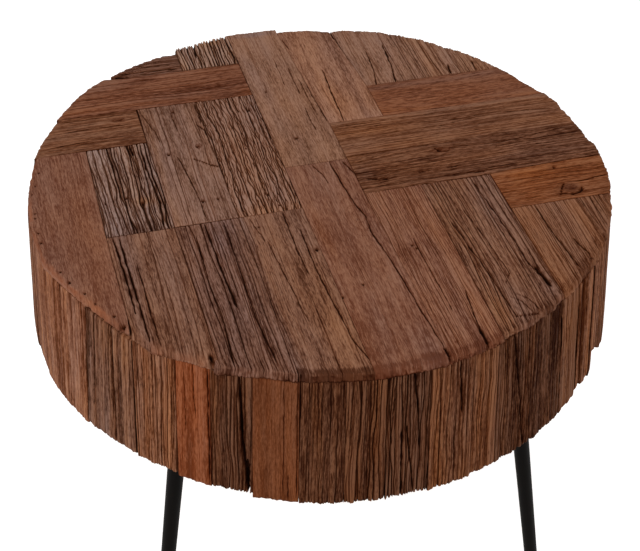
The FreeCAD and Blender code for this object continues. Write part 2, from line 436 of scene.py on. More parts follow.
def tile_face(tile):
    """The face's points and wear."""
    along, across, (left, right, near, far) = tile_grid(tile)
    side = np.minimum(np.minimum(across - left, right - across), np.minimum(along - near, far - along))
    x, y = (along, across) if tile.along_x else (across, along)
    radius, angle = np.hypot(x, y), np.arctan2(y, x)

    # Each board ends at its own radius
    rim_gap = tile.radius - radius
    near_rim = smooth_step(tile.radius - RIM_REACH_MM, tile.radius, radius)
    first_azimuth = tile.rim[0] - 20
    azimuth = (np.degrees(angle) - first_azimuth) % 360 + first_azimuth
    out = between(azimuth, tile.rim) - tile.smallest
    x, y = moved_out(x, y, angle, near_rim * out)
    along, across = (x, y) if tile.along_x else (y, x)
    height, groove, stain, tone, warmth, bent = tile.board.surface(along, across, x, y)

    # Joints are eased and dirty, some more than others
    inside = rim_gap > CLEAR_OF_RIM_MM
    worn = 0.5 + 0.8 * tile.board.wear(along / 17, across / 17)
    height -= 0.5 * tile.seams * worn * np.exp(-np.maximum(side, 0) / (0.6 * worn))
    darkening = np.clip(0.05 + 1.15 * tile.board.wear(along / 55 + 5, across / 55 + 5), 0, 1)
    groove = np.maximum(groove, tile.seams * darkening * np.exp(-np.maximum(side, 0) / 0.5) * inside)

    # The rim has a strip painted darker along it, as painted shade of its worn, rounded edge, and is
    # chipped and rounded by wear
    tone = tone + tile.shade[1] * smooth_step(1.3 * tile.shade[0], 0.6 * tile.shade[0], rim_gap)
    width = tile.bevel[0] * (0.6 + 0.8 * rim_field(angle * 25, 2.0))
    share = 1 - np.clip(rim_gap / width, 0, 1)
    height -= tile.bevel[1] * (0.3 * share + 0.7 * (1 - np.sqrt(1 - np.minimum(share, 0.999) ** 2)))
    chips = 0.9 * rim_field.layered(angle * 22, tile.board.seed * 3.1)
    chips += 1.2 * rim_field.layered(angle * 75, 4.0)
    push = near_rim * tile.ragged * (chips - 1.6 * groove)
    x, y = moved_out(x, y, angle, push)
    bare = 0.2 + 0.8 * smooth_step(0.25, 0.6, rim_field(angle * 9, 6.0))
    groove = groove * (1 - min(0.75, 1.5 * tile.band[2]) * smooth_step(0.1, 0.8, share))
    edge = np.minimum(1, tile.band[2] * share * bare)

    points = np.stack([x, y, TOP_MM + tile.lift + height], -1)
    numbers = {"groove": groove, "stain": stain, "tone": tone, "warmth": warmth, "edge": edge}
    return points, along, bent, numbers


def build_tile(tile):
    points, along, bent, numbers = tile_face(tile)
    rows, columns = along.shape
    points = points.reshape(-1, 3)
    outline = outline_of(rows, columns)
    ring = points[outline]
    radius = np.hypot(ring[:, 0], ring[:, 1])
    outward = ring[:, :2] / radius[:, None]
    at_rim = radius > tile.radius - WALL_REACH_MM
    turn = np.arctan2(ring[:, 1], ring[:, 0])

    # Walls go down from the face's outline to the board's underside
    face_groove = numbers["groove"].ravel()[outline]
    levels, rough = [points], []
    for share, darkening in zip(WALL_SHARES, WALL_PAINTED_SHADE):
        chip = 0.7 * tile.board.field.layered(turn * 130, share * 3 + 5) * (share < 1)
        level = ring.copy()
        push = 0.2 + chip + tile.flare * share - 0.5 * share ** 4
        level[:, :2] += push[:, None] * outward * at_rim[:, None]
        level[:, 2] += (TILE_LOW_MM - ring[:, 2]) * share
        levels.append(level)
        # Each row is painted darker towards the wall's foot, as painted shade under the rim, and darker
        # where the wall is pushed in
        dark = darkening + tile.band[1] - 0.9 * chip + 0.5 * rim_field.layered(turn * 30, share + 9)
        runs_down = 0.9 - 0.5 * share
        rough.append(np.maximum(np.clip(dark, 0, 1), runs_down * face_groove) * at_rim + 0.6 * ~at_rim)
    quads = [grid_quads(rows, columns)]
    above = outline
    for row in range(len(WALL_SHARES)):
        below = len(points) + row * len(outline) + np.arange(len(outline))
        quads.append(np.stack([above, below, np.roll(below, -1), np.roll(above, -1)], -1))
        above = below
    vertices = np.concatenate(levels) * MM
    piece = mesh_object(tile.node + "_wood", vertices, np.concatenate(quads), [above[::-1]])

    def with_walls(values, wall):
        return np.concatenate([values.ravel(), wall])

    def repeated(values):
        return np.tile(values.ravel()[outline], len(WALL_SHARES))

    down = np.repeat(WALL_SHARES, len(outline)) * (TOP_MM - TILE_LOW_MM)
    band_tone = np.tile(0.9 * rim_field.layered(turn * 9, 8.0) + tile.band[0], len(WALL_SHARES))
    walls = {name: share * repeated(numbers[name]) for name, share in FACE_ON_WALLS.items()}
    walls["groove"] = np.concatenate(rough)
    walls["tone"] += band_tone
    set_attributes(piece, {name: with_walls(numbers[name], wall) for name, wall in walls.items()},
                   with_walls(along, repeated(along) + down), with_walls(bent, repeated(bent)),
                   tile.board.seed)
    return piece


TILES = (
    Tile("left_red", "red", 11, "smooth", pits=0.07, bands=0.35, tone=-0.1, warmth=-0.1,
        patches=((-262, -145, 8, 25, 0.3, 0.5), (-298, -30, 6, 40, -0.15), (-262, 50, 14, 45, 0.15)),
        holes=((-281, 80, 1.4), (-287, 57, 1.3), (-292, 44, 1.1), (-293, 11, 1.5), (-294, 3, 1.3),
        (-294, -22, 1.3), (-293, -38, 1.5), (-281, -87, 1.4), (-275, -105, 1.6), (-263, -125, 1.4),
        (-256, -142, 1.1), (-242, -164, 1.6), (-237, -179, 3.6)), rim=(160, -2.5, 168, -3.5, 185, -2.5,
        193, 0.5, 200, -3.5, 208, -6, 216, -4), bevel=(3.4, 2.4), band=(0.3, -0.8, 2), flare=0.3,
        high_shifts=(-46, 0, 107, 3)),
    Tile("left_cross_brown", "tan", 12, "banded", wander=3, tone=-0.12, warmth=-0.15,
        strips=((118, 10, -0.15, 0.1), (158, 9, 0.35)), patches=((-178, 127, 18, 10, -0.22),),
        cracks=(fine(-245, 166, -200, 166, -165, 168), fine(-250, 146, -210, 148, -164, 146),
        fine(-262, 122, -200, 126, -166, 124)), knots=((-184, 157, 6, 2.5, 0.5),), along_x=True,
        rim=-0.5),
    Tile("left_cross_red", "cross_red", 13, "banded", wander=4, tone=0.25, warmth=-0.35,
        strips=((180, 6, -0.15, 0.7), (234, 4, 0.4)), patches=((-65, 205, 40, 5, 0.35),
        (-190, 222, 40, 9, 0.3), (-55, 178, 22, 5, 0, -0.9)),
        cracks=(medium(-243, 174.5, -205, 173.5, -165, 175),), along_x=True,
        rim=(128, 4.5, 132, 6.5, 138, 3.8, 143, 2.5, 146, 1)),
    Tile("left_cross_sliver", "dark", 14, "deep", bands=0.8, wander=6, tone=0.45, warmth=-0.7,
        cracks=(medium(-180, 252, -140, 247, -100, 246), fine(-150, 262, -120, 256, -98, 255)),
        along_x=True, rim=(109, -7, 112, -3, 116, -0.5, 121, 2.5, 128, 3.5)),
    Tile("back_gnarled", "grey", 15, "gnarled", ripple=1, tone=1, warmth=-0.1,
        patches=((-55, 292, 20, 8, 0, 0.5), (-92, 250, 5, 25, -0.1, 0.5), (-64, 270, 4, 25, -0.6)),
        cracks=(wide(-73, 298, -76, 262), medium(-35, 297, -33, 249)), rim=(100, 2.5, 104, 0.5, 107, 1.5),
        lift=0.8, ragged=1.1),
    Tile("ridged_grey", "grey", 16, "deep", ripple=0.8, bands=0.25, tone=0.12, warmth=-0.4,
        patches=((-215, 50, 8, 50, 0.1), (-172, -30, 12, 16, 0.4, 0.3), (-193, 78, 8, 22, -0.1, -0.3),
        (-183, 5, 9, 8, 0, 1.4)), knots=((-185, 5, 5, 2, 0.5),), holes=((-200, 15, 1.6), (-222, 10, 1.4),
        (-213, 14, 1.2)), cracks=(wide(-170, 105, -171, 60, -168, 0, -172, -40),
        crack(1.3, 2.6, -181, 106, -180, 88)), low_shifts=(-46, 0, 107, 3)),
    Tile("taupe", "light", 17, "lined", pits=0.08, tone=-0.1, warmth=-0.35, strips=((-157, 3, 0.1, 0.4),
        (-148, 10, 0.2)), patches=((-118, 110, 8, 40, -0.15, -0.2), (-105, 20, 6, 40, 0.25, 0.2),
        (-128, 164, 26, 8, -0.35)), cracks=(medium(-136, 74, -133, 56, -129, 3), fine(-129, 3, -128, -45),
        crack(1.2, 2.4, -103, 128, -97, 116, -95, 83), medium(-98, 168, -98, 130),
        fine(-158, 160, -150, 125, -148, 104), fine(-127, 156, -126, 120),
        crack(1, 0.5, -120, 66, -108, 54, -95, 43)), holes=((-144, 80, 2.3), (-126, -9, 2.4),
        (-112, 86, 1.3), (-124, 158, 1.5), (-110, -10, 1.3)), knots=((-110, 87, 3.5, 3, 0.2),),
        low_shifts=(95, 0, 172, 0.8)),
    Tile("grooved_tan", "light", 18, "choppy", ripple=1.2, wander=6, tone=1.35, warmth=-0.2,
        strips=((-50, 9, 0.25),), patches=((-70, -42, 30, 10, 0, 0.7), (-60, 130, 40, 45, 0.1, -0.4)),
        cracks=(medium(-55, 172, -54, 140), fine(-50, 100, -51, 40, -54, -10, -50, -46)),
        holes=((-42, 143, 2.4), (-59, -14, 1.5), (-52, -36, 1.4), (-62, 70, 1.2), (-31, -20, 1.4))),
    Tile("back_wide", "light", 19, "smooth", bands=0.4, pits=0.06, tone=0.03, warmth=0.15,
        patches=((-20, 268, 12, 42, 0.4), (24, 235, 8, 60, 0.3), (0, 110, 28, 80, -0.1, 0.1),
        (0, 297, 30, 5, 0.1, -0.9), (0, 262, 30, 28, 0.25)), cracks=(crack(0.34, 0.5, 21, 215, 21, 160),
        fine(19, 130, 19, 85), crack(0.3, 0.4, 10, 240, 9, 180), crack(0.34, 0.5, 27, 190, 28, 120),
        fine(33, 215, 33, 150, 36, 100)), holes=((-5, 76, 2), (-15, 173, 1.3)), rim=3, lift=0.3,
        high_shifts=(95, 0, 298, -9), seams=0.45),
    Tile("back_pink", "pink", 20, "smooth", bands=0.4, tone=0.05, strips=((45, 5, 0.2),
        (84, 5, -0.1, -0.2)), patches=((62, 262, 6, 30, 0.25), (70, 130, 25, 30, 0, 0.3),
        (70, 220, 30, 50, 0, -0.2)), cracks=(medium(59, 205, 56, 150, 54, 96), fine(30, 280, 33, 255),
        crack(0.8, 2.2, 89, 290, 94, 235, 97, 200)), low_shifts=(95, 0, 298, -9),
        high_shifts=(158, 0, 288, -8), rim=(72, -4, 76, -1.5), seams=0.5),
    Tile("back_cracked", "light", 21, "lined", bands=0.4, tone=0.25, warmth=-0.15,
        strips=((142, 7, 0.25, -0.2),), cracks=(medium(119, 230, 116, 190, 110, 156),
        crack(0.8, 2.4, 142, 240, 139, 195, 133, 159)), rim=(58, 3.5, 61, 6, 64, 4, 70, 2.5, 72, -3),
        low_shifts=(158, 0, 288, -8)),
    Tile("back_right_grooved", "light", 22, "grooved", tone=0.1, warmth=0.25,
        cracks=(wide(203, 180, 200, 160), medium(232, 182, 230, 160)), ragged=1.4,
        rim=(32, 0, 36, 1.5, 40, 3.5, 46, 1.5, 49, 4.5, 55, 4.5)),
    Tile("right_cross_red", "cross_red", 23, "smooth", wander=7, bands=0.4, strips=((150, 6, 0, -0.7),
        (118, 18, 0, 0.35), (100, 3, -0.1, 0.4)), along_x=True, seams=0.3,
        rim=(18, 1, 20, -1, 24, -2, 29, 0.5)),
    Tile("right_cross_tan", "tan", 24, "combed", wander=4, tone=0.12, strips=((92, 4, 0.25, -0.3),
        (36, 4, 0.25, 0.2)), patches=((190, 70, 22, 10, 0.3), (180, 85, 50, 8, 0, -0.4),
        (80, 75, 50, 14, 0, 0.3), (250, 45, 40, 8, 0, 0.4), (284, 50, 10, 20, -0.35, 0.2),
        (85, 62, 45, 5, -0.2)), cracks=(medium(165, 70, 225, 72, 285, 64),
        fine(150, 62, 190, 67, 215, 69)), along_x=True, seams=0.5, rim=(6, -1.5, 12, 0, 14, 3, 17, 2)),
    Tile("right_cross_dark", "dark", 25, "grooved", wander=6, ripple=0.9, bands=0.6, tone=-0.02,
        warmth=0.5, pits=0.06, strips=((19, 5, -0.15), (-31, 4, 0.15)),
        patches=((220, -14, 70, 6, -0.2, -0.5), (48, -5, 12, 12, 0, -0.8), (235, -30, 60, 6, -0.25, -0.3),
        (115, 8, 55, 6, -0.3, -0.1)), knots=((139, 17, 9, 4, 1.4),),
        cracks=(crack(1.2, 2.2, 132, 22, 140, 15, 146, 14), crack(1.5, 2, 47, -13, 58, -16, 69, -19),
        crack(1, 2, 103, -16, 115, -15), crack(1, 2, 136, -14, 146, -14),
        medium(148, 20, 208, 16, 283, 26), crack(1, 1.6, 160, -30, 172, -31),
        medium(195, 20, 250, 14, 300, 16), fine(60, -31, 140, -28, 220, -24),
        medium(121, 36, 180, 32, 245, 30)), along_x=True, low_shifts=(38, -4, 298, 6),
        rim=(-6, 1.8, -2, 1.5, 0, -2.5, 5, -1.5)),
    Tile("right_orange", "orange", 26, "banded", wander=5, bands=0.3, tone=0.2,
        patches=((204, -46, 22, 7, -0.15, 0.6), (206, -80, 16, 12, -0.15, 0.4),
        (266, -76, 22, 16, 0.35, 0.3), (228, -60, 40, 30, 0, 0.35), (247, -80, 10, 8, 0.1, -1.2)),
        knots=((247, -80, 5, 4, 1),), holes=((244, -42, 2.2), (232, -88, 1.5)),
        cracks=(crack(1, 2.2, 243, -71, 238, -78, 234, -86, 243, -90),
        crack(1.4, 2.6, 241, -90, 250, -90, 257, -86, 259, -81), medium(256, -71, 270, -70, 294, -67)),
        along_x=True, high_shifts=(172, 1, 298, 6), rim=(-19, -1.5, -15, 0.5, -8, 1.5), bevel=(2.4, 2),
        band=(-0.1, 0.1, 0.4)),
    Tile("front_right_brown", "tan", 27, "combed", tone=0.38, strips=((228, 8, 0.35),),
        patches=((238, -120, 8, 30, 0, 0.5), (200, -190, 14, 26, -0.2)),
        cracks=(medium(199, -100, 200, -150, 205, -205), medium(216, -160, 222, -188, 220, -196),
        wide(247, -100, 248, -125)), rim=(305, -6.5, 314, -5.5, 323, -3), bevel=(2.4, 1.8),
        shade=(10, -0.55), band=(0, 0, 0.4), flare=0.8),
    Tile("front_right_sliver", "dark", 28, "ridged", tone=0.5, warmth=0.5, rim=(323, -3, 336, -1.5),
        bevel=(3, 2.2), band=(-0.2, 0, 0.4)),
    Tile("front_right_long", "brown", 29, "grooved", bands=0.7, tone=0.3, wander=4,
        patches=((114, -70, 8, 30, 0.3), (150, -80, 8, 35, 0.3, -0.2), (125, -160, 6, 40, -0.15),
        (108, -250, 9, 40, 0, 0.8), (163, -225, 8, 20, 0, -0.5)),
        cracks=(medium(152, -40, 155, -90, 158, -132, 159, -189, 163, -205),
        crack(2, 3.4, 163, -192, 167, -222), medium(108, -105, 114, -170, 118, -230, 119, -255),
        medium(117, -256, 130, -257, 143, -259), fine(126, -90, 133, -150, 135, -196, 126, -209),
        fine(123, -228, 131, -236, 136, -252), fine(131, -226, 140, -236, 144, -252)),
        rim=(288, -7, 292, -6.5, 298, -5.5, 305, -6.5), bevel=(2, 1.5), shade=(9, -0.5), band=(0, 0, 0.4),
        flare=0.3),
    Tile("front_pink", "red", 30, "combed", bands=0.6, pits=0.1, tone=0.28, strips=((44, 4, -0.15),
        (70, 4, -0.1, -0.2), (87, 4, 0.15, 0.2)), cracks=(medium(85, -210, 80, -262),
        crack(1.4, 3.4, 80, -262, 81, -296), fine(62, -120, 63, -180, 64, -235)),
        patches=((62, -284, 12, 4, -0.3),), holes=((58, -131, 1.6), (61, -137, 1.3)),
        low_shifts=(-290, 5, -40, 0), rim=-4.5, bevel=(2.6, 1.8), shade=(9, -0.55), band=(-0.1, 0, 0.3),
        ragged=1.1, flare=1),
    Tile("front_centre", "red", 31, "smooth", bands=0.35, pits=0.06, tone=-0.05, warmth=-0.15,
        strips=((30, 8, 0, -0.4),), patches=((-22, -110, 8, 60, 0.05, 0.7), (-18, -15, 10, 45, 0.3, 0.2),
        (0, -195, 30, 45, -0.12, -0.2), (24, -287, 18, 4, -0.6, 0.3)), cracks=(fine(-2, 22, 4, 5, 6, -12),
        medium(17, 25, 19, -10, 22, -50, 27, -75, 25, -100, 31, -150, 35, -220, 40, -281),
        crack(1.2, 3, 40, -281, 40.5, -297), medium(31, 22, 37, 0)), holes=((-6, -177, 1.6),
        (-30, -190, 1.6)), rings=((20, -74, 6, 26, 0.5), (-2, -95, 9, 38, 0.22)), lift=0.3,
        high_shifts=(-290, 5, -40, 0), rim=(264, -4.5, 269, -6, 277, -5.5), bevel=(1.6, 1.1),
        shade=(7, -0.65), band=(-0.2, 0, 0.2), flare=4, seams=0.6),
    Tile("front_light", "brown", 32, "lined", pits=0.06, tone=0.1, strips=((-88, 9, 0.4),
        (-95, 4, 0, -0.7), (-55, 18, 0, 0.35), (-46, 4, -0.15)),
        cracks=(medium(-52, -50, -53, -110, -52, -150), medium(-42, -80, -43, -150, -37, -250, -28, -288),
        fine(-78, -90, -74, -150, -70, -215), fine(-87, -50, -80, -90),
        crack(1.1, 2, -95, -282, -95.5, -292)), holes=((-81, -66, 1.4), (-34, -114, 2.4)), rim=-4,
        bevel=(1.4, 0.9), shade=(8, -0.95), band=(-0.3, 0.05, 0.1), flare=3, seams=0.5),
    Tile("front_purple", "purple", 33, "grooved", bands=0.7, tone=0.05, strips=((-141, 4, -0.15),
        # The last patch darkens the board's corner by the rim, as painted shade of the rim
        (-128, 7, 0.3), (-119, 4, 0.2)), patches=((-125, -75, 12, 35, 0, -0.5), (-104, -286, 9, 7, -1)),
        cracks=(medium(-144, -65, -147, -140, -146, -200, -149, -255),
        wide(-132, -48, -131, -120, -129, -180), medium(-113, -50, -114, -120, -116, -190, -112, -260)),
        rim=(237, 1, 241, -4, 246, -6, 251, -4), bevel=(1.2, 0.7), band=(-0.1, 0.05, 0.2), flare=4.5),
    Tile("front_left_brown", "brown", 34, "lined", bands=0.6, pits=0.06, tone=-0.03, warmth=0.05,
        strips=((-172, 7, 0.4), (-217, 9, 0, -0.8)), patches=((-185, -210, 18, 45, 0.3),
        (-225, -240, 5, 50, -0.2)), cracks=(wide(-224, -50, -222, -100, -222, -165),
        wide(-218, -50, -217, -110, -216, -205), medium(-208, -95, -208, -150, -208, -214),
        crack(2.4, 4, -167, -236, -169, -260)), rim=(221, -2, 225, 3, 229, 0, 233, -2, 237, 0),
        bevel=(7, 4.2), band=(0, -0.3, 0.6), flare=1),
)


# Staves

STAVE_GAP_MM = 0.4
FIRST_STAVE_DEGREES = 207.0
STAVES_PER_NODE = 3
STAVE_STEP_MM = 2.8
STAVE_SEAT_MM = 0.3
STAVE_FLATNESS = 0.5
STAVE_SIDE_STEPS_MM = (0.0, 0.3, 0.7, 1.2)
STAVE_END_STEPS_MM = (0.0, 0.6, 1.4, 2.4, 3.8)
TURN_IN_SHARES = (0.05, 0.14, 0.3, 0.5, 0.75, 1.0)
STAVE_WIDTHS = (
    13.0, 8.9, 6.6, 7.6, 8.2, 7.9, 7.4, 7.9, 8.5, 5.4, 8.6, 9.2, 6.0, 6.4, 10.4,
    7.5, 9.0, 6.5, 8.5, 10.0, 7.0, 8.0, 6.0, 9.5, 8.0, 7.0, 10.5, 6.5, 8.5, 7.5,
    9.0, 5.5, 8.5, 7.0, 9.5, 8.0, 6.5, 10.0, 7.5, 8.5, 6.0, 8.0, 7.5, 8.5, 8.0,
)

# The staves in sight: colour, surface, tone, and how much longer the stave is than the rest
FRONT_STAVES = (
    ("grey", "grooved", -0.05, -2), ("tan", "ridged", 0.02, -0.8), ("orange", "smooth", -0.05, 2),
    ("dark", "ridged", 0.42, -0.5), ("smooth", "smooth", -0.2, 4), ("dark", "grooved", -0.1, 5.5),
    ("dark", "ridged", 0.15, 5.5), ("dark", "ridged", 0.35, 5), ("brown", "ridged", 0.5, 5),
    ("brown", "grooved", 0.55, 3), ("dark", "ridged", 0.15, 1.8), ("dark", "ridged", -0.05, 1.5),
    ("brown", "ridged", 0.52, -1.5), ("tan", "grooved", -0.1, 1), ("tan", "grooved", 0, 0),
)
LEFT_STAVES = (
    ("pink", "grooved", -0.15, 1), ("pink", "grooved", -0.05, 4), ("pink", "grooved", 0, 2),
)
OTHER_STAVES = (
    ("brown", "grooved", 0, 0), ("dark", "ridged", 0.1, 1), ("tan", "lined", 0, -1),
    ("grey", "ridged", 0, 1.5), ("smooth", "smooth", 0, 0), ("pink", "grooved", -0.1, -1.5),
    ("dark", "grooved", 0, 0.5), ("orange", "lined", -0.2, -0.5),
)

# Cracks of single staves, by place across the stave and height
STAVE_CRACKS = {
    1: (crack(0.8, 3, 0.5, 413, 1, 268), crack(0.6, 1.6, 14, 413, 13, 350, 11, 300),
        wide(41, 413, 42, 340, 43, 268)),
    3: (medium(33, 413, 33.5, 268), crack(0.3, 0.3, 9, 400, 10, 330), crack(0.34, 0.4, 18, 413, 20, 350)),
    4: (crack(1.2, 4.5, 28, 413, 30.5, 350, 34, 300, 37, 268), crack(1.8, 5, 36, 312, 37, 268)),
    5: (crack(0.34, 0.4, 29.5, 413, 29.5, 350, 29, 268), fine(42, 413, 42, 268), fine(34, 298, 34, 268)),
    8: (wide(25, 413, 30, 370, 33, 320), wide(14, 345, 16, 268), wide(19, 350, 28, 268),
        medium(6, 400, 4, 330)),
    9: (wide(30, 413, 31, 395, 34, 350),),
    11: (wide(20, 413, 30, 340, 38, 268), wide(42, 413, 43, 370)),
    14: (crack(1.6, 4, 8, 413, 9, 340, 10, 268), crack(1, 2.4, 17, 413, 18, 350)),
    45: (crack(1.2, 3.6, 42, 413, 42.5, 268),),
}

drum_field = Field(91)

# Staves that stand out from the rest, or back from them
STAVE_STANDS = {13: 0.5, 14: 2.0, 15: 2.6, 16: 4.0, 17: 4.0, 42: -0.5, 43: -0.5}

# How warm a stave's colour is, strips of another tone and warmth, and patches of them
STAVE_WARMTHS = {1: -0.1, 7: 0.1, 8: -0.4, 9: 0.2, 10: 0.2, 11: -0.2, 12: -0.35, 44: 0.2, 45: 0.25}
STAVE_STRIPS = {
    1: ((8, 5, 0.6), (25, 16, 0, -0.3), (59, 5, 0, 0.5)),
    5: ((39, 5, 0.35),),
    6: ((8, 8, 0, 0.4),),
    9: ((15, 6, 0.3, 0.2), (8, 5, 0, 0.6)),
    10: ((8, 5, 0.45), (14, 9, 0, 0.6)),
    11: ((3, 3, 0.45, -0.3),),
    13: ((25, 6, 0.7, -0.4),),
    14: ((9, 7, -0.65), (27, 6, 0.4, 0.3)),
    15: ((3, 5, 0.6, -0.4), (44, 7, -0.4)),
    43: ((20, 10, -0.15),),
    44: ((4, 5, 0.35), (26, 7, -0.15), (14, 4, -0.2)),
    45: ((5, 6, 0.35),),
}
STAVE_PATCHES = {
    1: ((62, 395, 6, 25, -0.3), (43, 305, 5, 25, 0.25), (30, 400, 8, 25, -0.2),
        (38, 400, 28, 22, 0, 0.5)),
    2: ((21, 372, 7, 25, -0.3),),
    3: ((9, 295, 6, 20, 0.2), (14, 310, 5, 25, 0, -0.6), (5, 395, 6, 20, 0.25), (27, 305, 6, 20, -0.15)),
    4: ((8, 305, 7, 45, 0.8, -0.2), (17, 375, 6, 25, -0.2), (29, 370, 7, 35, -0.35)),
    5: ((20, 400, 20, 20, 0, -0.3), (22, 330, 10, 35, -0.15), (38, 390, 5, 25, 0.25),
        (35, 278, 6, 12, -0.45)),
    6: ((12, 355, 5, 20, -0.12), (31, 340, 4, 20, -0.15), (33, 405, 4, 12, 0.35)),
    7: ((22, 395, 6, 25, -0.15), (31, 345, 8, 30, 0.4, 0.3), (33, 300, 5, 15, -0.18),
        (40, 375, 4, 35, 0.3, 0.3)),
    8: ((20, 310, 5, 30, 0.6), (21, 390, 4, 14, 0.35), (39, 375, 4, 40, -0.25), (15, 370, 5, 20, -0.12),
        (33, 408, 8, 16, -0.35), (22, 293, 6, 22, 0.3), (2, 340, 4, 60, 0, 0.5)),
    9: ((37, 330, 5, 50, -0.15, -0.2), (34, 405, 6, 15, 0, -0.5), (23, 390, 6, 30, 0.3),
        (22, 288, 17, 18, -0.25)),
    10: ((8, 310, 4, 18, 0.3), (22, 287, 5, 16, -0.5)),
    11: ((29, 360, 5, 25, -0.25, -0.4), (43, 305, 5, 30, 0.5), (5, 300, 5, 28, 0.45)),
    12: ((5, 300, 5, 30, 0.55), (16, 375, 5, 35, -0.18), (46, 392, 5, 30, -0.5), (20, 310, 18, 40, 0.25),
        (25, 400, 7, 28, 0.45)),
    13: ((10, 370, 6, 25, 0, 0.6), (26, 375, 5, 50, 0.35, 0.5)),
    14: ((12, 380, 8, 40, -0.4, 0.4), (22, 288, 6, 12, -0.4)),
    15: ((7, 310, 6, 35, 0.5), (18, 345, 6, 25, -0.25)),
}

# Where the drum's top is worn in: azimuths and shifts outwards in turn, which fade out downwards
DRUM_TOP_SHIFTS = (
    160, -2, 170, -2.4, 182, -1.8, 193, 0, 208, -5.5, 222, 0, 236, -2, 262, -1.5, 274, -5, 286, -5,
    303, -8, 320, -5, 330, -6.8, 345, -5, 360, 0,
)

# Ends that are broken off: shares of the width and how much is missing, in turn
BROKEN_ENDS = {
    14: (0, 10, 0.25, 13, 0.5, 7, 0.75, 5, 1, 7),
    15: (0, 1, 0.08, 2, 0.1, 34, 0.2, 27, 0.45, 22, 0.9, 0),
    43: (0, 6, 1, 0),
}


def drum_radius(height_mm):
    lean = (DRUM_BOTTOM_RADIUS_MM - DRUM_TOP_RADIUS_MM) / (TILE_LOW_MM - DRUM_LOW_MM)
    return DRUM_BOTTOM_RADIUS_MM - lean * (height_mm - DRUM_LOW_MM)


def worn_in(turn, height_mm):
    shift = between(np.degrees(turn) % 360, DRUM_TOP_SHIFTS, left=0, right=0)
    return shift * (height_mm - DRUM_LOW_MM) / (TILE_LOW_MM - DRUM_LOW_MM)


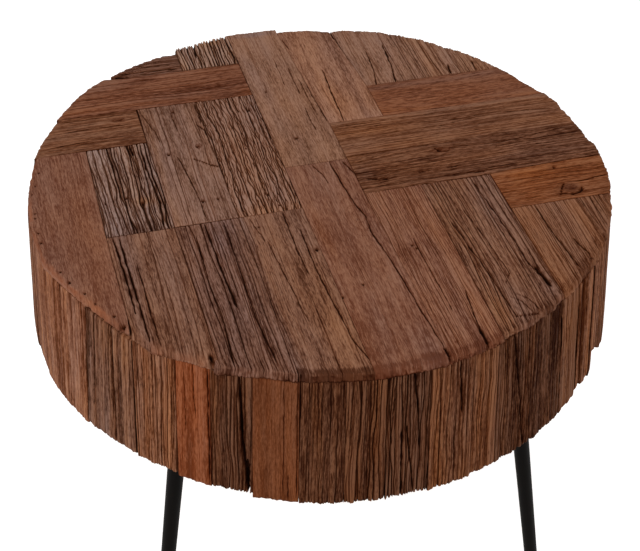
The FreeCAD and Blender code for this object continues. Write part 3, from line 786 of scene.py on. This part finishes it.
def build_stave(number, start, width_degrees, look):
    colour, surface, tone, longer_mm = look
    seed = 200 + 7 * number
    depth_share = {"smooth": 0.2, "lined": 0.5}.get(surface, 1.0)
    board = Board(seed, surface, wander=2.8, ripple=0.7, bands=1.0, tone=tone,
                  warmth=STAVE_WARMTHS.get(number, 0.0), cracks=STAVE_CRACKS.get(number, ()),
                  strips=STAVE_STRIPS.get(number, ()), patches=STAVE_PATCHES.get(number, ()))
    width_mm = math.radians(width_degrees) * DRUM_BOTTOM_RADIUS_MM - STAVE_GAP_MM
    share = spread(width_mm, ACROSS_STEP_MM, STAVE_SIDE_STEPS_MM)
    across = share * width_mm
    gap_degrees = math.degrees(STAVE_GAP_MM / DRUM_BOTTOM_RADIUS_MM)
    turn = np.radians(start + gap_degrees / 2 + (width_degrees - gap_degrees) * share)
    middle = math.radians(start + width_degrees / 2)

    # Lower ends are ragged: bundles of fibres break off at their own heights, and grooves run out there
    level = np.full_like(across, DRUM_LOW_MM)
    end_groove = board.surface(level, across, across, level)[1]
    steps = 2 * drum_field.steps(across / 6.1 + seed, seed) - 1
    low = DRUM_LOW_MM - longer_mm + 0.8 * depth_share * steps
    low += 0.35 * depth_share * (2 * drum_field.steps(across / 2.6, seed + 5) - 1)
    low += 1.6 * drum_field.layered(across / 9, seed * 0.3)
    low += 1.2 * depth_share * smooth_step(0.8, 1.0, end_groove)
    low += between(share, BROKEN_ENDS.get(number, (0, 0)))
    top = TILE_LOW_MM - STAVE_SEAT_MM
    rows = spread(top - DRUM_LOW_MM, STAVE_STEP_MM, STAVE_END_STEPS_MM)[:, None]
    z = top + (low - top) * rows
    across = np.broadcast_to(across, z.shape)
    turns = np.broadcast_to(turn, z.shape)
    height, groove, stain, tone, warmth, bent = board.surface(z, across, across, z)

    side = np.minimum(across, width_mm - across)
    open_joint = 0.2 + 0.8 * drum_field(z / 40, (across > width_mm / 2) + number)
    height = height - 1.1 * open_joint * np.exp(-side / 0.8)
    groove = np.maximum(groove, open_joint * np.exp(-side / 0.6))
    height = height - 1.3 * np.exp((low - z) / 2.2) * (0.4 + drum_field(across / 2.1 + seed, 7.7))
    # The top ends are worn back under the rim, and a dark line is painted along them just under the rim as
    # painted shade
    height = height - 0.9 * np.exp((z - top) / 2.5) * drum_field(across / 3.0 + seed, 1.3)
    groove = np.maximum(groove, (0.1 if colour == "pink" else 0.3) * np.exp((z - top) / 0.8))
    stand = 1.4 * (drum_field(number * 1.7, 2.5) - 0.5) + STAVE_STANDS.get(number, 0)
    flat = drum_radius(z) * (math.cos(math.radians(width_degrees / 4)) / np.cos(turns - middle) - 1)
    radius = drum_radius(z) + worn_in(turns, z) + height + stand + STAVE_FLATNESS * flat

    # The lower end turns in to the back of the board
    back_low = drum_radius(DRUM_LOW_MM) - STAVE_THICKNESS_MM
    back_top = drum_radius(top) - STAVE_THICKNESS_MM
    end_steps = np.array(TURN_IN_SHARES)[:, None]
    end_radius = radius[-1] + (back_low - radius[-1]) * end_steps
    chips = 1.6 * drum_field.layered(across[0] / 2.0 + 9 * end_steps, seed + 6 * end_steps)
    end_z = low + chips * np.sin(math.pi * end_steps)
    radius = np.concatenate([radius, end_radius, np.full_like(radius[:1], back_top)])
    z_all = np.concatenate([z, end_z, np.full_like(z[:1], top)])
    vertices = np.stack([radius * np.cos(turn), radius * np.sin(turn), z_all], -1).reshape(-1, 3)
    count, columns = z_all.shape
    index = numbered(count, columns)
    lid = np.stack([index[-1, :-1], index[-1, 1:], index[0, 1:], index[0, :-1]], -1)
    quads = np.concatenate([grid_quads(count, columns), lid])[:, ::-1]
    piece = mesh_object("stave_%02d_wood" % number, vertices * MM, quads, [index[:, 0], index[::-1, -1]])

    extra = count - len(z)

    def with_end(values, end):
        return np.concatenate([values, np.full((extra, columns), end)]).ravel()

    grain_along = np.concatenate([z, z[-1:] + 3.0 * np.arange(1, extra + 1)[:, None]]).ravel()
    grain_across = np.concatenate([bent, np.repeat(bent[-1:], extra, 0)]).ravel()
    set_attributes(piece, {
        "groove": with_end(groove, 0.35),
        "stain": with_end(stain, 0.0),
        "tone": with_end(tone, -0.3),
        "warmth": with_end(warmth, 0.0),
        "edge": with_end(0 * tone, 0.0),
    }, grain_along, grain_across, seed)
    return piece


def stave_look(number):
    if number <= len(FRONT_STAVES):
        return FRONT_STAVES[number - 1]
    if number > len(STAVE_WIDTHS) - len(LEFT_STAVES):
        return LEFT_STAVES[number - len(STAVE_WIDTHS) + len(LEFT_STAVES) - 1]
    return OTHER_STAVES[number * 5 % len(OTHER_STAVES)]


# Materials

def linear(red, green, blue):
    """A colour as shaders take it, from one as screens show it."""
    def one(value):
        value /= 255
        return value / 12.92 if value <= 0.04045 else ((value + 0.055) / 1.055) ** 2.4
    return one(red), one(green), one(blue), 1.0


class Nodes:
    """A short way to add and join the nodes of a material or a world."""

    def __init__(self, owner, shader="Principled BSDF"):
        owner.use_nodes = True
        self.owner, self.tree = owner, owner.node_tree
        self.shader = self.tree.nodes[shader]

    def put(self, socket, value):
        if isinstance(value, bpy.types.NodeSocket):
            self.tree.links.new(value, socket)
        else:
            socket.default_value = value

    def shade(self, name, value):
        self.put(self.shader.inputs[name], value)

    def new(self, kind):
        return self.tree.nodes.new("ShaderNode" + kind)

    def fed(self, node, inputs, output=0):
        """The node's output, once its inputs are set or joined."""
        for socket, value in inputs:
            self.put(node.inputs[socket], value)
        return node.outputs[output]

    def math(self, operation, *values, clamp=False):
        node = self.new("Math")
        node.operation, node.use_clamp = operation, clamp
        return self.fed(node, enumerate(values))

    def times(self, first, second):
        return self.math("MULTIPLY", first, second)

    def line(self, value, slope, start):
        return self.math("MULTIPLY_ADD", value, slope, start)

    def about_zero(self, value, scale):
        """A share from 0 to 1, moved to lie about zero and scaled."""
        return self.line(value, scale, -0.5 * scale)

    def total(self, *values):
        result = values[0]
        for value in values[1:]:
            result = self.math("ADD", result, value)
        return self.math("ADD", result, 0.0, clamp=True)

    def attribute(self, name, output="Fac"):
        node = self.new("Attribute")
        node.attribute_name = name
        return node.outputs[output]

    def place(self):
        return self.new("TexCoord").outputs["Object"]

    def noise(self, vector, scale, detail=3.0, roughness=0.55):
        stretch = self.new("VectorMath")
        stretch.operation = "MULTIPLY"
        place = self.fed(stretch, ((0, vector), (1, scale)))
        return self.fed(self.new("TexNoise"), (
            ("Vector", place), ("Scale", 1.0), ("Detail", detail), ("Roughness", roughness)), "Fac")

    def mix(self, share, first, second, kind="MIX"):
        node = self.new("Mix")
        node.data_type, node.blend_type = "RGBA", kind
        return self.fed(node, ((0, share), (6, first), (7, second)), 2)

    def ramp(self, value, low, high):
        return self.fed(self.new("MapRange"), (("Value", value), ("From Min", low), ("From Max", high)))

    def set_bump(self, height, strength, distance):
        self.shade("Normal", self.fed(self.new("Bump"), (
            ("Height", height), ("Strength", strength), ("Distance", distance))))

    def seen_directly(self):
        """One for rays that come from the camera, a mirror or glass, and zero for the light they bring."""
        rays = self.new("LightPath").outputs
        share = rays["Is Camera Ray"]
        for name in ("Is Glossy Ray", "Is Transmission Ray"):
            share = self.math("MAXIMUM", share, rays[name])
        return share


def material_nodes(name):
    return Nodes(bpy.data.materials.new(name))


def old_wood(name, dark, middle, light, hue_across, cast):
    """Oiled old wood. The points carry the flow of the grain, the grooves and the stains."""
    nodes = material_nodes(name)
    grain = nodes.attribute("grain", "Vector")
    groove = nodes.attribute("groove")
    fibre = nodes.noise(grain, (45, 500, 1), 4.0, 0.7)
    speckle = nodes.noise(grain, (150, 800, 1), 2.0, 0.6)
    hair = nodes.ramp(nodes.noise(grain, (25, 700, 1), 2.0), 0.56, 0.74)
    streak = nodes.noise(grain, (5, 150, 1), 3.0, 0.6)
    mottle = nodes.noise(grain, (26, 90, 1), 4.0, 0.65)
    hue = nodes.noise(grain, (6, hue_across, 1), 2.0)
    pores = nodes.noise(grain, (130, 1500, 1), 1.0)

    shade = nodes.total(
        0.55, nodes.about_zero(fibre, 2.0), nodes.about_zero(speckle, 2.2),
        nodes.about_zero(streak, 0.8), nodes.about_zero(mottle, 0.7),
        nodes.times(hair, -0.45), nodes.times(nodes.attribute("tone"), 0.75))
    colour = nodes.mix(nodes.ramp(shade, 0.0, 0.5), dark, middle)
    colour = nodes.mix(nodes.ramp(shade, 0.5, 1.0), colour, light)
    warm_share = nodes.total(
        0.5, nodes.about_zero(nodes.ramp(hue, 0.3, 0.7), 0.6 * cast),
        nodes.times(nodes.attribute("warmth"), 0.5))
    cast_colour = nodes.mix(warm_share, (0.86, 1.0, 1.28, 1), (1.14, 1.0, 0.76, 1))
    colour = nodes.mix(1.0, colour, cast_colour, "MULTIPLY")
    colour = nodes.mix(nodes.times(nodes.ramp(pores, 0.62, 0.72), 0.4), colour, linear(44, 22, 12))
    edge = nodes.times(nodes.attribute("edge"), nodes.ramp(mottle, 0.35, 0.65))
    colour = nodes.mix(nodes.times(edge, 0.5), colour, linear(146, 84, 54))
    colour = nodes.mix(nodes.times(nodes.attribute("stain"), 0.7), colour, linear(78, 38, 20))
    # Grooves, cracks, pits and joints are painted darker, near black where deepest: grime in them and
    # painted shade
    shaded = nodes.mix(1.0, colour, (0.55, 0.36, 0.24, 1), "MULTIPLY")
    colour = nodes.mix(nodes.ramp(groove, 0.03, 0.6), colour, shaded)
    nodes.shade("Base Color", nodes.mix(nodes.ramp(groove, 0.4, 1.0), colour, linear(22, 7, 2)))

    nodes.shade("Roughness", nodes.line(groove, 0.25, nodes.line(fibre, 0.2, 0.55)))
    nodes.shade("Specular IOR Level", 0.02)
    nodes.set_bump(nodes.math("SUBTRACT", nodes.math("ADD", fibre, speckle), hair), 0.6, 0.0005)
    return nodes.owner


def black_coat():
    """Powder-coated steel."""
    nodes = material_nodes("black_coat")
    place = nodes.place()
    cloud = nodes.noise(place, (30, 30, 30))
    nodes.shade("Base Color", nodes.mix(cloud, linear(5, 3, 2), linear(10, 7, 5)))
    nodes.shade("Roughness", nodes.line(cloud, 0.2, 0.42))
    nodes.shade("Specular IOR Level", 0.04)
    nodes.set_bump(nodes.noise(place, (1400, 1400, 1400), 2.0), 0.25, 0.0001)
    return nodes.owner


def matte_plastic():
    nodes = material_nodes("matte_plastic")
    grit = nodes.noise(nodes.place(), (2200, 2200, 2200), 2.0)
    nodes.shade("Base Color", nodes.mix(grit, linear(16, 16, 16), linear(30, 30, 30)))
    nodes.shade("Roughness", 0.7)
    nodes.set_bump(grit, 0.3, 0.0001)
    return nodes.owner


def zinc_steel():
    nodes = material_nodes("zinc_steel")
    cloud = nodes.noise(nodes.place(), (300, 300, 300))
    nodes.shade("Base Color", nodes.mix(cloud, linear(140, 138, 128), linear(178, 176, 168)))
    nodes.shade("Roughness", nodes.line(cloud, 0.25, 0.3))
    nodes.shade("Metallic", 1.0)
    return nodes.owner


def plain_wood(name, dark, light, scale):
    nodes = material_nodes(name)
    place = nodes.place()
    fibre = nodes.noise(place, scale, 4.0, 0.6)
    figure = nodes.noise(place, tuple(value / 9 for value in scale))
    share = nodes.total(nodes.times(fibre, 0.5), nodes.times(figure, 0.5))
    nodes.shade("Base Color", nodes.mix(nodes.ramp(share, 0.3, 0.7), dark, light))
    nodes.shade("Roughness", 0.75)
    nodes.set_bump(fibre, 0.3, 0.0002)
    return nodes.owner


# Colours of the old wood: dark, middle and light
WOOD_COLOURS = {
    "red": ((92, 52, 35), (117, 76, 57), (136, 95, 74)),
    "cross_red": ((74, 36, 18), (110, 66, 45), (132, 87, 63)),
    "tan": ((78, 42, 23), (111, 72, 50), (134, 93, 69)),
    "brown": ((72, 41, 26), (111, 75, 57), (133, 96, 76)),
    "light": ((88, 55, 37), (123, 87, 68), (143, 106, 86)),
    "pink": ((98, 60, 41), (133, 92, 71), (151, 110, 87)),
    "grey": ((78, 49, 35), (124, 92, 76), (152, 120, 102)),
    "dark": ((62, 31, 16), (98, 63, 45), (124, 87, 68)),
    "purple": ((64, 37, 26), (103, 71, 57), (125, 92, 78)),
    "orange": ((80, 40, 18), (114, 66, 39), (135, 87, 58)),
    "stave_brown": ((64, 32, 14), (98, 60, 40), (124, 84, 61)),
    "stave_tan": ((76, 39, 17), (117, 74, 50), (146, 101, 75)),
    "stave_grey": ((66, 36, 19), (109, 73, 54), (134, 96, 75)),
    "stave_orange": ((96, 43, 17), (119, 64, 37), (138, 81, 53)),
    "stave_dark": ((46, 18, 5), (79, 46, 28), (106, 69, 48)),
    "stave_smooth": ((80, 38, 16), (98, 54, 30), (114, 67, 42)),
    "stave_pink": ((94, 53, 31), (127, 83, 61), (152, 108, 84)),
}


def assign(piece, material):
    piece.data.materials.clear()
    piece.data.materials.append(material)


def dress(piece, node, material):
    assign(piece, material)
    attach(piece, "root")
    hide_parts(node)


def dress_cad_nodes():
    finishes = {
        "black_steel": black_coat(),
        "glide_plastic": matte_plastic(),
        "screw_steel": zinc_steel(),
        "plywood": plain_wood("plywood", linear(150, 112, 72), linear(196, 160, 116), (30, 700, 700)),
        "rib_wood": plain_wood("rib_wood", linear(168, 128, 84), linear(208, 172, 124), (60, 60, 600)),
    }
    for name, node in frame["nodes"].items():
        if slots[name] in finishes:
            assign(node, finishes[slots[name]])


def build_wood():
    wood = {}
    for name, shades in WOOD_COLOURS.items():
        hue_across, cast = (90, 1.0) if name.startswith("stave") else (26, 0.7)
        wood[name] = old_wood(name, *[linear(*shade) for shade in shades], hue_across, cast)
    for tile in TILES:
        dress(build_tile(tile), tile.node, wood[tile.colour])
    degrees_per_share = 360 / sum(STAVE_WIDTHS)
    start = FIRST_STAVE_DEGREES
    for number, share in enumerate(STAVE_WIDTHS, 1):
        width, look = share * degrees_per_share, stave_look(number)
        node = "stave_group_%02d" % ((number - 1) // STAVES_PER_NODE + 1)
        dress(build_stave(number, start, width, look), node, wood["stave_" + look[0]])
        start += width


# Floor, light and camera

def build_floor():
    """A pale floor that shows as white and keeps the table's shadow."""
    half = 8.0
    corners = np.array([(-half, -half, 0), (half, -half, 0), (half, half, 0), (-half, half, 0)])
    floor = mesh_object("studio_floor", corners, np.array([[0, 1, 2, 3]]))
    nodes = material_nodes("studio_floor")
    nodes.shade("Base Color", (0.8, 0.8, 0.8, 1))
    nodes.shade("Roughness", 0.9)
    nodes.shade("Specular IOR Level", 0.0)
    nodes.shade("Emission Color", (1, 1, 1, 1))
    nodes.shade("Emission Strength", nodes.times(nodes.seen_directly(), 0.6))
    assign(floor, nodes.owner)


def build_world():
    world = bpy.data.worlds.new("studio")
    nodes = Nodes(world, "Background")
    nodes.shade("Color", (1, 1, 1, 1))
    nodes.shade("Strength", nodes.line(nodes.seen_directly(), 0.6, 0.4))
    bpy.context.scene.world = world


# The point that the lights face
LIT_POINT = Vector((0, 0, 0.35))


def area_light(name, place, size, power):
    light = bpy.data.lights.new(name, "AREA")
    light.shape = "DISK"
    light.size = size
    light.energy = power
    lamp = add_object(name, light)
    lamp.location = place
    lamp.rotation_euler = (LIT_POINT - Vector(place)).to_track_quat("-Z", "Y").to_euler()


def build_camera():
    """A pinhole camera at the photograph's place, with its heading, dip and tilt in degrees."""
    place = Vector((-0.3487, -1.2167, 1.3314))
    turn, dip, tilt = (math.radians(angle) for angle in (16.09, 39.49, 1.11))
    lens_px, sensor_mm, image_width_px = 1500, 36.0, 640
    ahead = Vector((math.sin(turn) * math.cos(dip), math.cos(turn) * math.cos(dip), -math.sin(dip)))
    level = Vector((math.cos(turn), -math.sin(turn), 0))
    right = math.cos(tilt) * level + math.sin(tilt) * level.cross(ahead)
    upward = right.cross(ahead)
    data = bpy.data.cameras.new("camera")
    data.sensor_width = sensor_mm
    data.lens = lens_px / image_width_px * sensor_mm
    camera = add_object("camera", data)
    axes = Matrix((right, upward, -ahead)).transposed()
    camera.matrix_world = Matrix.Translation(place) @ axes.to_4x4()
    bpy.context.scene.camera = camera


build_wood()
dress_cad_nodes()
build_floor()
build_world()
area_light("left", (-1.5, -1.1, 1.5), 1.4, 28)
area_light("right", (1.3, -1.5, 1.4), 1.4, 18)
area_light("overhead", (0.2, 0.9, 2.4), 1.6, 12)
build_camera()
bpy.context.scene.view_settings.view_transform = "Standard"

bpy.context.view_layer.update()
